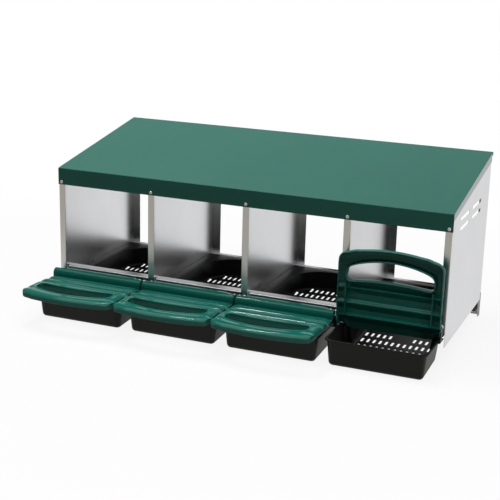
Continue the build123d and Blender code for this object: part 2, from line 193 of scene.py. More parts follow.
def thicken(piece, wall, even=True, rim=None):
    """Gives a skin its wall, behind its faces, and a thicker one along the group named rims."""
    alone(piece)
    solid = piece.modifiers.new("wall", "SOLIDIFY")
    solid.thickness = rim or wall
    solid.offset = -1.0
    solid.use_even_offset = even
    if rim:
        solid.vertex_group = "rims"
        solid.thickness_vertex_group = wall / rim
    bpy.ops.object.modifier_apply(modifier=solid.name)


def smooth_out(piece, levels):
    """Divides an object's faces and rounds them off."""
    alone(piece)
    finer = piece.modifiers.new("smoothing", "SUBSURF")
    finer.levels = levels
    finer.render_levels = levels
    bpy.ops.object.modifier_apply(modifier=finer.name)


def cut_with(piece, tool):
    """Cuts one object's shape out of another and clears the tool away."""
    alone(piece)
    cut = piece.modifiers.new("cut", "BOOLEAN")
    cut.operation = "DIFFERENCE"
    cut.solver = "EXACT"
    cut.object = tool
    bpy.ops.object.modifier_apply(modifier=cut.name)
    bpy.data.objects.remove(tool)


def join(pieces):
    """Joins objects into the first of them."""
    alone(pieces[0])
    for piece in pieces[1:]:
        piece.select_set(True)
    bpy.ops.object.join()
    return pieces[0]


def copy_to(piece, name, place, turn=(0.0, 0.0, 0.0)):
    """A copy with its own mesh, set down in its place."""
    alone(piece)
    bpy.ops.object.duplicate(linked=False)
    copy = bpy.context.object
    copy.name = name
    copy.location = place
    copy.rotation_euler = turn
    return place_flat(copy)


# The perch lid, modelled shut with the middle of its barrel at the origin. Columns run from its middle to
# a side, rows from the lip behind the barrel to the front, each with its way forward and its height.
lid_columns = (0.0, 0.030, 0.060, 0.088, 0.109, 0.121, 0.1265, 0.1335, 0.1400, 0.1464)
lid_rows = (
    (-0.0250, 0.0100), (-0.0150, 0.0146), (-0.0060, 0.0160), (0.0035, 0.0152), (0.0110, 0.0112),
    (0.0150, 0.0040), (0.0154, -0.0050), (0.0158, -0.0112),
    (0.0185, -0.0072), (0.0240, -0.0030), (0.0340, -0.0012), (0.0440, -0.0030), (0.0512, -0.0084),
    (0.0540, -0.0124),
    (0.0568, -0.0066), (0.0630, -0.0002), (0.0750, 0.0018), (0.0865, 0.0002), (0.0942, -0.0054),
    (0.0970, -0.0094),
    (0.0998, -0.0036), (0.1050, 0.0018), (0.1120, 0.0028),
    (0.1170, 0.0026), (0.1290, 0.0026), (0.1430, 0.0026), (0.1550, 0.0026),
    (0.1605, -0.0004), (0.1700, 0.0022), (0.1860, -0.0006), (0.1930, -0.0066),
)
lid_half = lid_columns[-1]
hole_column = 5
hole_half = lid_columns[hole_column]
hole_rear, hole_front = 23, 26
handle_crest = 28


def lid_forward(row, x):
    """How far forward of its row's end a lid vertex sits, for the bowed handle."""
    bow = 1.0 - (x / lid_half) ** 2
    hole_bow = max(0.0, 1.0 - (x / hole_half) ** 2)
    if row == hole_rear:
        return 0.009 * hole_bow
    if row in (hole_front, hole_front + 1):
        return 0.025 * hole_bow
    if row == handle_crest:
        return 0.0265 * bow
    if row > handle_crest:
        return 0.022 * bow
    return 0.0


# Vertices at the rounded corners of the handle: column and row, with the place across and forward
lid_corners = {
    (5, 23): (0.1178, 0.1200), (5, 24): (0.1210, 0.1290), (5, 26): (0.1180, 0.1520),
    (4, 26): (0.1090, 0.1592), (4, 27): (0.1100, 0.1652), (5, 27): (0.1210, 0.1588),
    (6, 27): (0.1262, 0.1600),
    (9, 28): (0.1464, 0.1764), (9, 29): (0.1443, 0.1857), (9, 30): (0.1385, 0.1933),
    (8, 28): (0.1402, 0.1760), (8, 29): (0.1345, 0.1875), (8, 30): (0.1301, 0.1976),
    (7, 28): (0.1330, 0.1752), (7, 29): (0.1272, 0.1905), (7, 30): (0.1222, 0.1997),
    (6, 28): (0.1255, 0.1742), (6, 29): (0.1192, 0.1929), (6, 30): (0.1140, 0.2017),
    (5, 28): (0.1180, 0.1762), (5, 29): (0.1115, 0.1953), (5, 30): (0.1060, 0.2046),
    (4, 29): (0.1020, 0.1973), (4, 30): (0.0970, 0.2068),
}


def model_lid():
    """Lid with its barrel, handle, skirt, ribs and pins, the middle of the pins at the origin."""
    across = len(lid_columns) - 1
    rows = len(lid_rows)
    # a grid of one metre steps, far enough off that no row waiting there is taken for a row in its place
    far_off = 100.0
    bpy.ops.object.select_all(action="DESELECT")
    bpy.ops.mesh.primitive_grid_add(x_subdivisions=2 * across, y_subdivisions=rows - 1, size=1.0)
    lid = bpy.context.object
    lid.scale = (2 * across, rows - 1, 1.0)
    lid.location = (0.0, far_off + (rows - 1) / 2, 0.0)
    place_flat(lid)
    # columns to their places, then rows along the scalloped profile, rear row first
    for column in range(1, across + 1):
        for side in (-1, 1):
            pick(lid, lambda co: abs(co.x - side * column) < 0.1)
            move(x=side * (lid_columns[column] - column))
    for row, (forward, up) in enumerate(lid_rows):
        step = far_off + rows - 1 - row
        pick(lid, lambda co: abs(co.y - step) < 0.1)
        move(y=-forward - step, z=up)
    # the lip behind the barrel is shorter at its ends, to clear the posts
    for row, (forward, up) in enumerate(((-0.0130, 0.0078), (-0.0110, 0.0108), (-0.0050, 0.0146))):
        was = lid_rows[row]
        pick(lid, lambda co: abs(co.x) > 0.1263 and near(co.y, -was[0]))
        move(y=was[0] - forward, z=up - was[1])
    # outer edges roll over, and a bead runs round the handle's hole
    for column, drop in ((9, 0.0064), (8, 0.0022), (7, 0.0006)):
        place = lid_columns[column]
        pick(lid, lambda co: near(abs(co.x), place) and -0.165 < co.y < -0.0200)
        move(z=-drop)
        pick(lid, lambda co: near(abs(co.x), place) and (co.y < -0.165 or -0.02 < co.y < -0.017))
        move(z=-0.4 * drop)
    pick(lid, lambda co: abs(co.x) < 0.1215 and -0.1555 < co.y < -0.1165)
    move(z=0.0016)
    pick(lid, lambda co: near(abs(co.x), lid_columns[hole_column + 1]) and -0.1610 < co.y < -0.1165)
    move(z=-0.0022)
    # the front bows forward and its corners are rounded
    spots = {}
    for row in range(hole_rear, rows):
        for column in range(-across, across + 1):
            side = -1 if column < 0 else 1
            x = lid_columns[abs(column)]
            forward = lid_rows[row][0]
            corner = lid_corners.get((abs(column), row))
            if corner:
                shift = (side * (corner[0] - x), forward - corner[1])
            else:
                shift = (0.0, -lid_forward(row, x))
            spots[column, row] = (side * x, -forward, shift)
    for (column, row), (x, y, shift) in spots.items():
        if shift != (0.0, 0.0):
            pick(lid, lambda co: near(co.x, x) and near(co.y, y))
            move(x=shift[0], y=shift[1])
    ends = {key: (x + shift[0], y + shift[1]) for key, (x, y, shift) in spots.items()}

    def at(co, keys):
        return any(near(co.x, ends[key][0]) and near(co.y, ends[key][1]) for key in keys)

    # the hole of the handle, with walls hanging from its edge
    hole = [
        (column, row)
        for column in range(-hole_column, hole_column + 1)
        for row in range(hole_rear, hole_front + 1)
    ]
    pick(lid, lambda co: at(co, hole), "FACE")
    bpy.ops.mesh.delete(type="FACE")
    hole_edge = [key for key in hole if abs(key[0]) == hole_column or key[1] in (hole_rear, hole_front)]
    pick(lid, lambda co: at(co, hole_edge), "EDGE", open_only=True)
    extrude(z=-0.0055)
    extrude(z=-0.003)
    flatten(hole_wall_bottom)
    lid.vertex_groups.new(name="rims")
    bpy.ops.object.vertex_group_assign()
    # the skirt round the sides and the front
    rim = [(side * across, row) for side in (-1, 1) for row in range(hole_rear, rows)]
    rim += [(column, rows - 1) for column in range(-across, across + 1)]
    pick(
        lid,
        lambda co: (abs(co.x) > 0.1463 and -0.1165 < co.y < -0.0170) or at(co, rim),
        "EDGE",
        open_only=True,
    )
    extrude(z=-0.0015)
    extrude(z=-0.003)
    flatten(skirt_bottom)
    bpy.ops.object.vertex_group_assign()
    bpy.ops.object.mode_set(mode="OBJECT")
    # ribs that carry the hole's side walls back to the barrel
    ribs = []
    for side in (-1, 1):
        pick(
            lid,
            lambda co: abs(co.x - side * hole_half) < 1e-4 and -0.1205 < co.y < -0.0170 and co.z > -0.0125,
            "EDGE",
        )
        bpy.ops.mesh.duplicate_move()
        bpy.ops.mesh.separate(type="SELECTED")
        bpy.ops.object.mode_set(mode="OBJECT")
        rib = [piece for piece in bpy.context.selected_objects if piece is not lid][0]
        pick(rib, lambda co: True)
        move(z=-0.0012)
        bpy.ops.mesh.select_mode(type="EDGE")
        bpy.ops.mesh.select_all(action="SELECT")
        extrude(z=-0.002)
        flatten(rib_bottom)
        thicken(rib, 0.0030)
        ribs.append(rib)
    thicken(lid, lid_wall, even=False, rim=2 * lid_wall)
    smooth_out(lid, 2)
    # closed ends of the barrel, each with its hinge pin
    ends_of_barrel = []
    for side in (-1, 1):
        disc = rod(barrel_end, 0.0036, (side * 0.1446, 0.0, 0.0), (0.0, pi / 2, 0.0), 48)
        ends_of_barrel.append(soften(disc, 0.0008))
        pin = rod(pin_radius, 0.0040, (side * 0.1469, 0.0, -pin_drop), (0.0, pi / 2, 0.0), 24)
        ends_of_barrel.append(soften(pin, 0.0006))
    lid = join([lid] + ribs + ends_of_barrel)
    # the skirt and the walls of the hole are marked for their dull grain, and for painted light: a lighter,
    # greyer colour standing in for light and reflection on these upright faces
    grain_and_painted_light = lid.data.attributes.new("grain_and_painted_light", "FLOAT", "POINT")
    for v in lid.data.vertices:
        outside = abs(v.co.x) > 0.1452 or v.co.y < -0.1165
        below = min(1.0, max(0.0, (-0.0055 - v.co.z) / 0.003))
        grain_and_painted_light.data[v.index].value = below if outside else 0.0
    lid.location = (0.0, 0.0, pin_drop)
    place_flat(lid)
    bpy.ops.object.shade_smooth_by_angle(angle=radians(40.0))
    return lid


# The nest pan, modelled about the middle of its bay: tray, bowl, rim, slots, ears and lug
def depth(y):
    """Distance behind the fascia of a place in the pan."""
    return y - face_y


def pan_outline():
    """Flat outline of the tray and the bowl's opening, at the rim's height."""
    bpy.ops.object.select_all(action="DESELECT")
    bpy.ops.mesh.primitive_plane_add(size=1.0, location=(0.0, face_y - 0.06775, pan_rim))
    pan = bpy.context.object
    pan.scale = (tray_width, tray_length, 1.0)
    place_flat(pan)
    pick(pan, lambda co: True)
    bpy.ops.mesh.bevel(offset=tray_corner, segments=8, affect="VERTICES")

    def at_tray_rear(co):
        return depth(co.y) > tray_rear - 0.0001

    # the tray's straight rear edge is parted where the bowl begins, and drawn back to the bowl's round end
    pick(pan, at_tray_rear, "EDGE")
    bpy.ops.mesh.subdivide(number_cuts=2)
    for side in (-1, 1):
        pick(pan, lambda co: at_tray_rear(co) and 0.02 < side * co.x < 0.1)
        move(x=side * (bowl_half - (tray_width / 2 - tray_corner) / 3))
    pick(pan, lambda co: at_tray_rear(co) and abs(co.x) < bowl_half + 0.0005, "EDGE")
    extrude(y=bowl_length)
    pick(pan, lambda co: depth(co.y) > 0.3)
    bpy.ops.mesh.bevel(offset=bowl_corner, segments=20, affect="VERTICES")
    bpy.ops.object.mode_set(mode="OBJECT")
    return pan


def floor_slots():
    """Round-ended bars that cut the rows of slots out of the floor."""
    first_x = -column_step * (slot_columns - 1) / 2
    slot = cube((slot_width, slot_length, 0.12), (first_x, face_y + 0.020, 0.02))
    pick_edges(slot, lambda first, second: abs(first.z - second.z) > 0.05)
    bpy.ops.mesh.bevel(offset=0.0038, segments=3)
    for column in range(1, slot_columns):
        pick(slot, lambda co: co.x < first_x + column_step / 2)
        bpy.ops.mesh.duplicate_move(TRANSFORM_OT_translate={"value": (column_step * column, 0.0, 0.0)})
    for row in range(1, slot_rows):
        pick(slot, lambda co: depth(co.y) < 0.038)
        bpy.ops.mesh.duplicate_move(TRANSFORM_OT_translate={"value": (0.0, row_step * row, 0.0)})
    # three slots are missing from the third row, and the round end has room for eight in the last
    pick(
        slot,
        lambda co: (0.090 < depth(co.y) < 0.128 and -0.014 < co.x < 0.031)
        or (depth(co.y) > 0.355 and abs(co.x) > 0.07),
    )
    bpy.ops.mesh.delete(type="VERT")
    bpy.ops.object.mode_set(mode="OBJECT")
    return slot


def pan_lug(width, x):
    """Upright tongue behind a post."""
    return soften(cube((width, 0.0015, 0.0395), (x, face_y + 0.00275, 0.09925)), 0.0004)


def model_pan():
    """Pan of one moulded shell, with a flat rim round the nest and ears for the lid's pins."""
    pan = pan_outline()
    # walls lean in to a floor that rises towards the back
    pick(pan, lambda co: True, "FACE")
    bpy.ops.mesh.inset(thickness=0.0084, depth=0.0, use_boundary=True)
    move(z=-0.0795)
    flatten(pan_wall)
    # walls run into the floor in a wide curve
    bpy.ops.mesh.region_to_loop()
    bpy.ops.mesh.bevel(offset=0.0090, segments=6)
    pick(pan, lambda co: co.z < 0.03, "FACE")
    bpy.ops.mesh.bisect(plane_co=(0.0, floor_front, 0.0), plane_no=(0.0, 1.0, 0.0))
    pick(pan, lambda co: co.z < 0.03 and depth(co.y) > -0.1279)
    bpy.ops.transform.rotate(
        value=-atan(floor_slope),
        orient_axis="X",
        orient_type="GLOBAL",
        center_override=(0.0, floor_front, pan_wall),
    )
    # the tray's rim is lower than the nest's, and is turned out and down
    for place in (0.0, 0.002):
        bpy.ops.mesh.select_all(action="SELECT")
        bpy.ops.mesh.bisect(plane_co=(0.0, face_y + place, 0.0), plane_no=(0.0, 1.0, 0.0))
    pick(pan, lambda co: co.z > 0.0815 and depth(co.y) < 0.001)
    move(z=-tray_drop)
    pick(pan, lambda co: 0.0765 < co.z < 0.0775 and depth(co.y) < 0.001, "EDGE", open_only=True)
    for wider, longer in ((0.1398 / 0.1365, 0.1588 / 0.1555), (0.1424 / 0.1398, 0.1614 / 0.1588)):
        extrude()
        bpy.ops.transform.resize(value=(wider, longer, 1.0), center_override=(0.0, face_y + tray_rear, 0.0))
    move(z=-0.0005)
    extrude(z=-0.0035)
    bpy.ops.object.mode_set(mode="OBJECT")
    thicken(pan, pan_wall, even=False)
    soften(pan, 0.0007, 2, 50.0)
    cut_with(pan, floor_slots())
    # the nest's flat rim, with the bowl's opening cut out of it
    rim = cube((0.2928, 0.44225, pan_wall), (0.0, face_y + 0.223875, 0.08075))
    opening = pan_outline()
    pick(opening, lambda co: True, "FACE")
    move(z=-0.03)
    extrude(z=0.06)
    bpy.ops.mesh.select_all(action="SELECT")
    bpy.ops.mesh.normals_make_consistent(inside=False)
    bpy.ops.object.mode_set(mode="OBJECT")
    cut_with(rim, opening)
    soften(rim, 0.0007, 2, 50.0)
    # hinge ears on the corners of the tray, and the tongue behind the post on the left
    extras = []
    for side in (-1, 1):
        land = cube((0.0125, 0.043, pan_wall), (side * 0.14275, face_y - 0.0205, 0.07575))
        ear = cube((0.002, 0.018, 0.0275), (side * 0.148, hinge_y, 0.09025))
        pick_edges(ear, lambda first, second: first.z > 0.1 and abs(first.x - second.x) > 0.001)
        bpy.ops.mesh.bevel(offset=0.0085, segments=6)
        bpy.ops.object.mode_set(mode="OBJECT")
        extras += [soften(land, 0.0006), soften(ear, 0.0003)]
    extras.append(pan_lug(0.016, -0.1384))
    pan = join([pan, rim] + extras)
    bpy.ops.object.shade_smooth_by_angle(angle=radians(35.0))
    return pan


# Folded sheet: a line of bends is drawn out into a skin, its bends rounded, and the skin given its wall
def folded(bends, along, radius=0.0022):
    """Skin through a line of points, drawn out along a vector, its bends rounded."""
    bpy.ops.object.select_all(action="DESELECT")
    bpy.ops.mesh.primitive_plane_add(size=1.0)
    skin = bpy.context.object
    pick(skin, lambda co: co.x + co.y > -0.9)
    bpy.ops.mesh.delete(type="VERT")
    bpy.ops.mesh.select_all(action="SELECT")
    move(x=0.5 + bends[0][0], y=0.5 + bends[0][1], z=bends[0][2])
    for last, point in zip(bends, bends[1:]):
        extrude(*(b - a for a, b in zip(last, point)))
    bpy.ops.mesh.select_mode(type="EDGE")
    bpy.ops.mesh.select_all(action="SELECT")
    extrude(*along)
    ahead = Vector(along).normalized()

    def in_line(first, second):
        return near((second - first).cross(ahead).length, 0.0)

    def at_bend(co):
        return any(in_line(Vector(point), co) for point in bends[1:-1])

    if radius:
        pick_edges(
            skin, lambda first, second: at_bend(first) and at_bend(second) and in_line(first, second)
        )
        bpy.ops.mesh.bevel(offset=radius, segments=3)
    bpy.ops.object.mode_set(mode="OBJECT")
    return skin


def finish_sheet(skin, out):
    """Turns the skin's faces outwards, gives it its wall and takes off the sharp edges."""
    alone(skin)
    face = max(skin.data.polygons, key=lambda each: each.area)
    if face.normal.dot(Vector(out)) < 0.0:
        bpy.ops.object.mode_set(mode="EDIT")
        bpy.ops.mesh.select_all(action="SELECT")
        bpy.ops.mesh.flip_normals()
        bpy.ops.object.mode_set(mode="OBJECT")
    thicken(skin, sheet)
    soften(skin, 0.00025, 1, 60.0)
    return skin


def even_faces(piece):
    """Smooths the bends and keeps the flats flat."""
    alone(piece)
    bpy.ops.object.shade_smooth_by_angle(angle=radians(40.0))
    even = piece.modifiers.new("flats", "WEIGHTED_NORMAL")
    even.weight = 100
    even.keep_sharp = True
    bpy.ops.object.modifier_apply(modifier=even.name)
    return piece


def model_roof():
    """Roof with its rear lip and front fascia."""
    rear = face_y + roof_depth
    line = ((rear, roof_rear - 0.012), (rear, roof_rear), (face_y, roof_front), (face_y, fascia_bottom))
    skin = folded([(-box_half, y, z) for y, z in line], (2 * box_half, 0.0, 0.0), 0.0025)
    return even_faces(finish_sheet(skin, (0.0, 0.0, 1.0)))


def model_web(left, mirrored=False):
    """A wall of a bay: sheet with its post folded at the front and its flange at the rear."""
    way = -1.0 if mirrored else 1.0
    line = (
        (left + way * flange_width, web_rear), (left, web_rear), (left, web_front),
        (left + way * post_width, web_front), (left + way * post_width, web_front + post_lip),
    )
    skin = folded([(x, y, web_bottom) for x, y in line], (0.0, 0.0, 0.480))

    def in_post(co):
        return co.y < web_front + 0.02 and abs(co.x - left) > 0.0021

    # the post stops above the pan, and the top follows the roof
    pick(skin, in_post, "FACE")
    bpy.ops.mesh.bisect(plane_co=(0.0, 0.0, post_bottom), plane_no=(0.0, 0.0, 1.0))
    pick(skin, lambda co: in_post(co) and co.z < post_bottom + 0.0005, "FACE")
    bpy.ops.mesh.delete(type="FACE")
    bpy.ops.mesh.select_all(action="SELECT")
    bpy.ops.mesh.bisect(
        plane_co=(0.0, face_y, roof_under), plane_no=(0.0, -roof_rise, 1.0), clear_outer=True
    )
    bpy.ops.object.mode_set(mode="OBJECT")
    return finish_sheet(skin, (-way, 0.0, 0.0))


def model_divider(left):
    """Wall between two bays, notched where it crosses the rear rail."""
    web = model_web(left)
    notch = cube((0.006, 0.0025, 0.0410), (left, face_y + 0.466, 0.0605))
    cut_with(web, notch)
    return even_faces(web)


def model_end(outer, inward):
    """End wall with its vents, and the hem that stands proud under the roof's edge."""
    wall = model_web(outer + inward * sheet, inward < 0)
    hem = cube((sheet, 0.467, 0.2), (outer + inward * sheet / 2, face_y + 0.2345, 0.45))
    hem_under = roof_under - 0.020
    hem_rise = roof_rise - 0.005 / 0.467
    for height, slope, side in ((roof_under, roof_rise, 1.0), (hem_under, hem_rise, -1.0)):
        pick(hem, lambda co: True)
        bpy.ops.mesh.bisect(
            plane_co=(0.0, face_y, height),
            plane_no=(0.0, -side * slope, side),
            clear_outer=True,
            use_fill=True,
        )
        bpy.ops.object.mode_set(mode="OBJECT")
    soften(hem, 0.0003, 1)
    for back in (0.146, 0.298):
        for up in (0.358, 0.386):
            for piece in (wall, hem):
                vent = cube((0.02, vent_length, vent_height), (outer, face_y + back, up))
                cut_with(piece, vent)
    return even_faces(join([wall, hem]))


def model_foot(outer, inward):
    """Rear foot: an angle behind the end wall's flange, its side leg showing below the wall only."""
    rear = web_rear + sheet
    front = rear - foot_depth
    line = ((outer, front), (outer, rear), (outer + inward * flange_width, rear))
    skin = folded([(x, y, 0.0) for x, y in line], (0.0, 0.0, foot_height), 0.0015)
    leg_top = web_bottom - 0.0005
    pick(skin, lambda co: co.y < rear - 0.0014, "FACE")
    bpy.ops.mesh.bisect(plane_co=(0.0, 0.0, leg_top), plane_no=(0.0, 0.0, 1.0))
    pick(skin, lambda co: co.y < rear - 0.0014 and co.z > leg_top - 0.0005, "FACE")
    bpy.ops.mesh.delete(type="FACE")
    # corner cut off at the floor
    pick(skin, lambda co: co.y < front + 0.001 and co.z < 0.001)
    bpy.ops.mesh.bevel(offset=0.010, segments=1, affect="VERTICES")
    bpy.ops.object.mode_set(mode="OBJECT")
    return even_faces(finish_sheet(skin, (0.0, 1.0, 0.0)))


def model_sill(left, right, relief_left, relief_right):
    """Front sill: flat ledge rolled over at the front, relieved where it passes a post."""
    line = (
        (0.0300, 0.1160), (0.0300, 0.1198), (0.0288, 0.1209), (0.0064, 0.1203), (0.0046, 0.1197),
        (0.0035, 0.1185), (0.0031, 0.1169), (0.0030, 0.1105),
    )
    sill = folded([(left, face_y + back, up) for back, up in line], (right - left, 0.0, 0.0), 0.0)
    finish_sheet(sill, (0.0, 0.0, 1.0))
    for edge, inner in ((left, relief_left), (right, relief_right)):
        if inner:
            width = abs(inner - edge) + 0.004
            middle = (inner + edge) / 2 - 0.002 * (1 if inner > edge else -1)
            cut_with(sill, cube((width, 0.016, 0.03), (middle, face_y + 0.0075, 0.121)))
    return even_faces(sill)


def model_screw():
    """Pan-head screw with a cross in its head, which points to the front."""
    head = rod(0.0050, 0.0030, (0.0, -0.0015, 0.0), (pi / 2, 0.0, 0.0), 32)
    pick(head, lambda co: co.y < -0.0028, "FACE")
    bpy.ops.mesh.bevel(offset=0.0026, segments=6)
    bpy.ops.object.mode_set(mode="OBJECT")
    for turn in (0.0, pi / 2):
        bar = cube((0.0044, 0.0026, 0.0010), (0.0, -0.0026, 0.0))
        bar.rotation_euler = (0.0, turn + 0.4, 0.0)
        cut_with(head, place_flat(bar))
    shank = rod(0.0019, 0.0090, (0.0, 0.0045, 0.0), (pi / 2, 0.0, 0.0), 12)
    screw = join([head, soften(shank, 0.0004)])
    bpy.ops.object.shade_smooth_by_angle(angle=radians(35.0))
    return screw


# Finishes
class Value:
    """A node's output socket that takes part in arithmetic by adding Math nodes."""

    def __init__(self, finish, socket):
        self.finish = finish
        self.socket = socket

    def maths(self, operation, *others, **settings):
        node = self.finish.tree.nodes.new("ShaderNodeMath")
        node.operation = operation
        for key, value in settings.items():
            setattr(node, key, value)
        for spot, value in enumerate((self,) + others):
            self.finish.feed(node.inputs[spot], value)
        return Value(self.finish, node.outputs[0])

    def __add__(self, other):
        return self.maths("ADD", other)

    def __mul__(self, other):
        return self.maths("MULTIPLY", other)

    def __sub__(self, other):
        return self.maths("SUBTRACT", other)

    def __rsub__(self, other):
        return (self * -1.0) + other

    def __abs__(self):
        return self.maths("ABSOLUTE")

    def clamped(self):
        return self.maths("ADD", 0.0, use_clamp=True)

    def ramp(self, low, high):
        """0 below low, 1 above high, straight between."""
        return ((self - low) * (1.0 / (high - low))).clamped()


class Finish:
    """A procedural material, built up node by node."""

    def __init__(self, name, tree=None):
        if tree is None:
            self.material = bpy.data.materials.new(name)
            self.material.use_nodes = True
            tree = self.material.node_tree
        self.tree = tree
        self.tree.nodes.clear()

    def feed(self, socket, value):
        if isinstance(value, Value):
            self.tree.links.new(value.socket, socket)
        elif isinstance(value, tuple) and len(value) == 3 and socket.type == "RGBA":
            socket.default_value = (*value, 1.0)
        else:
            socket.default_value = value

    def node(self, kind, settings=None, out=0, **sockets):
        """Adds a node and returns one output. Sockets go by name, or by number as i0, i1 and on."""
        node = self.tree.nodes.new("ShaderNode" + kind)
        for key, value in (settings or {}).items():
            setattr(node, key, value)
        for key, value in sockets.items():
            numbered = key[0] == "i" and key[1:].isdigit()
            self.feed(node.inputs[int(key[1:]) if numbered else key.replace("_", " ")], value)
        return Value(self, node.outputs[out])

    def mix(self, amount, first, second):
        """Blend of two colours."""
        return self.node("Mix", {"data_type": "RGBA"}, 2, i0=amount, i6=first, i7=second)

    def place(self, stretch=(1.0, 1.0, 1.0)):
        """Place on the object in metres, stretched along its axes."""
        spot = self.node("TexCoord", None, "Object")
        return self.node("Mapping", None, 0, Vector=spot, Scale=stretch)

    def along(self, axis):
        """Place along one axis, in metres."""
        return self.node("SeparateXYZ", None, axis, Vector=self.node("TexCoord", None, "Object"))

    def noise(self, place, scale, detail=3.0, rough=0.55):
        return self.node("TexNoise", None, "Fac", Vector=place, Scale=scale, Detail=detail, Roughness=rough)

    def mirrored(self):
        """1 for what is seen in a reflection or through something clear."""
        glossy = self.node("LightPath", None, "Is Glossy Ray")
        return (glossy + self.node("LightPath", None, "Is Transmission Ray")).clamped()

    def surface(self, shader):
        output = self.tree.nodes.new("ShaderNodeOutputMaterial")
        self.tree.links.new(shader.socket, output.inputs["Surface"])
        return self.material


def roof_enamel():
    """Green stoved enamel on sheet: even colour, slight orange peel, a little dust and rubbing."""
    made = Finish("roof_enamel")
    spot = made.place()
    cloud = made.noise(spot, 3.2, 4.0)
    streak = made.noise(made.place((9.0, 0.8, 0.8)), 2.5, 3.0)
    peel = made.noise(spot, 420.0, 2.0)
    dust = made.noise(spot, 900.0, 1.0).ramp(0.70, 0.80)
    tone = made.mix(cloud.ramp(0.30, 0.70), (0.0300, 0.146, 0.112), (0.0345, 0.158, 0.122))
    tone = made.mix(dust * 0.10, tone, (0.20, 0.27, 0.25))
    rough = cloud * 0.06 + streak * 0.06 + 0.34
    bump = made.node("Bump", None, 0, Strength=0.10, Distance=0.0004, Height=peel + cloud * 2.0)
    return made.surface(made.node(
        "BsdfPrincipled", None, 0, Base_Color=tone, Roughness=rough, Specular_IOR_Level=0.15, Normal=bump
    ))


def galvanised_sheet():
    """Zinc coated sheet: soft patches of lighter and darker tone, a faintly uneven sheen, and painted shade
    on the hem under the roof's edge.
    """
    made = Finish("galvanised_sheet")
    spot = made.place()
    cloud = made.noise(spot, 5.0, 2.0)
    patch = made.noise(spot, 60.0, 1.0)
    tone = made.mix(cloud, (0.77, 0.775, 0.785), (0.88, 0.885, 0.90))
    # the hem that stands proud of the end walls is painted darker, as painted shade under the roof's
    # overhanging edge, and is rougher
    painted_shade_hem = abs(made.along("X")).ramp(0.5990, 0.5994)
    tone = made.mix(painted_shade_hem * 0.9, tone, (0.42, 0.455, 0.455))
    rough = patch * 0.03 + painted_shade_hem * 0.12 + 0.275
    return made.surface(made.node(
        "BsdfPrincipled", None, 0, Base_Color=tone, Metallic=1.0, Roughness=rough
    ))


def lid_plastic():
    """Glossy green moulded plastic with flow marks, a few fine scuffs, and a dull grain on the skirt and
    the hole's walls, which are also painted lighter and greyer as painted light and reflection.
    """
    made = Finish("lid_plastic")
    spot = made.place()
    cloud = made.noise(spot, 9.0, 3.0)
    flow = made.noise(made.place((2.0, 14.0, 14.0)), 3.0, 3.0)
    grain = made.noise(spot, 1300.0, 1.0)
    scuff = made.noise(made.place((60.0, 6.0, 6.0)), 9.0, 4.0, 0.6).ramp(0.62, 0.76)
    tone = made.mix(cloud * 0.6 + flow * 0.4, (0.0050, 0.146, 0.108), (0.0075, 0.168, 0.126))
    tone = made.mix(scuff * 0.10, tone, (0.05, 0.16, 0.13))
    grain_and_painted_light = made.node("Attribute", {"attribute_name": "grain_and_painted_light"}, "Fac")
    # the skirt and the hole's walls are painted lighter and greyer, as painted light and reflection; their
    # roughness and bump are the real grain
    tone = made.mix(grain_and_painted_light * 0.85, tone, (0.052, 0.205, 0.168))
    rough = cloud * 0.05 + scuff * 0.05 + grain_and_painted_light * 0.40 + 0.07
    relief = cloud + grain_and_painted_light * grain * 0.15
    bump = made.node("Bump", None, 0, Strength=0.03, Distance=0.0003, Height=relief)
    return made.surface(made.node(
        "BsdfPrincipled", None, 0, Base_Color=tone, Roughness=rough, Specular_IOR_Level=0.19, Normal=bump
    ))


def pan_plastic():
    """Black satin moulded plastic, fine grained, with pale scuffing."""
    made = Finish("pan_plastic")
    spot = made.place()
    cloud = made.noise(spot, 8.0, 4.0)
    grain = made.noise(spot, 950.0, 2.0)
    scuff = made.noise(made.place((8.0, 50.0, 8.0)), 8.0, 4.0, 0.6).ramp(0.60, 0.78)
    tone = made.mix(cloud, (0.0050, 0.0052, 0.0054), (0.0090, 0.0092, 0.0095))
    tone = made.mix(scuff * 0.12, tone, (0.07, 0.07, 0.07))
    rough = cloud * 0.10 + grain * 0.06 + 0.34
    bump = made.node("Bump", None, 0, Strength=0.16, Distance=0.0003, Height=grain + cloud)
    return made.surface(made.node(
        "BsdfPrincipled", None, 0, Base_Color=tone, Roughness=rough, Specular_IOR_Level=0.25, Normal=bump
    ))


def bright_zinc():
    """Plated screws, a little uneven in shade and sheen."""
    made = Finish("bright_zinc")
    spot = made.place()
    cloud = made.noise(spot, 260.0, 3.0)
    tone = made.mix(cloud, (0.82, 0.82, 0.80), (0.94, 0.94, 0.92))
    bump = made.node("Bump", None, 0, Strength=0.08, Distance=0.0002, Height=cloud)
    return made.surface(made.node(
        "BsdfPrincipled", None, 0, Base_Color=tone, Metallic=1.0, Roughness=cloud * 0.12 + 0.34, Normal=bump
    ))


def shaded_foot_zinc():
    """Zinc of the feet, rougher than the sheet, its grey painted darker as painted shade under the box, and
    darker still near the floor, painted shade there too.
    """
    made = Finish("shaded_foot_zinc")
    spot = made.place()
    cloud = made.noise(spot, 22.0, 4.0)
    fine = made.noise(spot, 600.0, 2.0)
    # painted shade: the feet's grey is darker than the sheet's for the shade under the box, and darker
    # still towards the floor
    floor_shade = (1.0 - made.along("Z").ramp(0.0, 0.045)) * (cloud * 0.7 + 0.3)
    tone = made.mix(cloud, (0.52, 0.53, 0.52), (0.66, 0.67, 0.66))
    tone = made.mix(floor_shade * 0.5, tone, (0.20, 0.19, 0.17))
    bump = made.node("Bump", None, 0, Strength=0.05, Distance=0.0002, Height=fine)
    return made.surface(made.node(
        "BsdfPrincipled", None, 0, Base_Color=tone, Metallic=0.35, Roughness=cloud * 0.2 + 0.45, Normal=bump
    ))


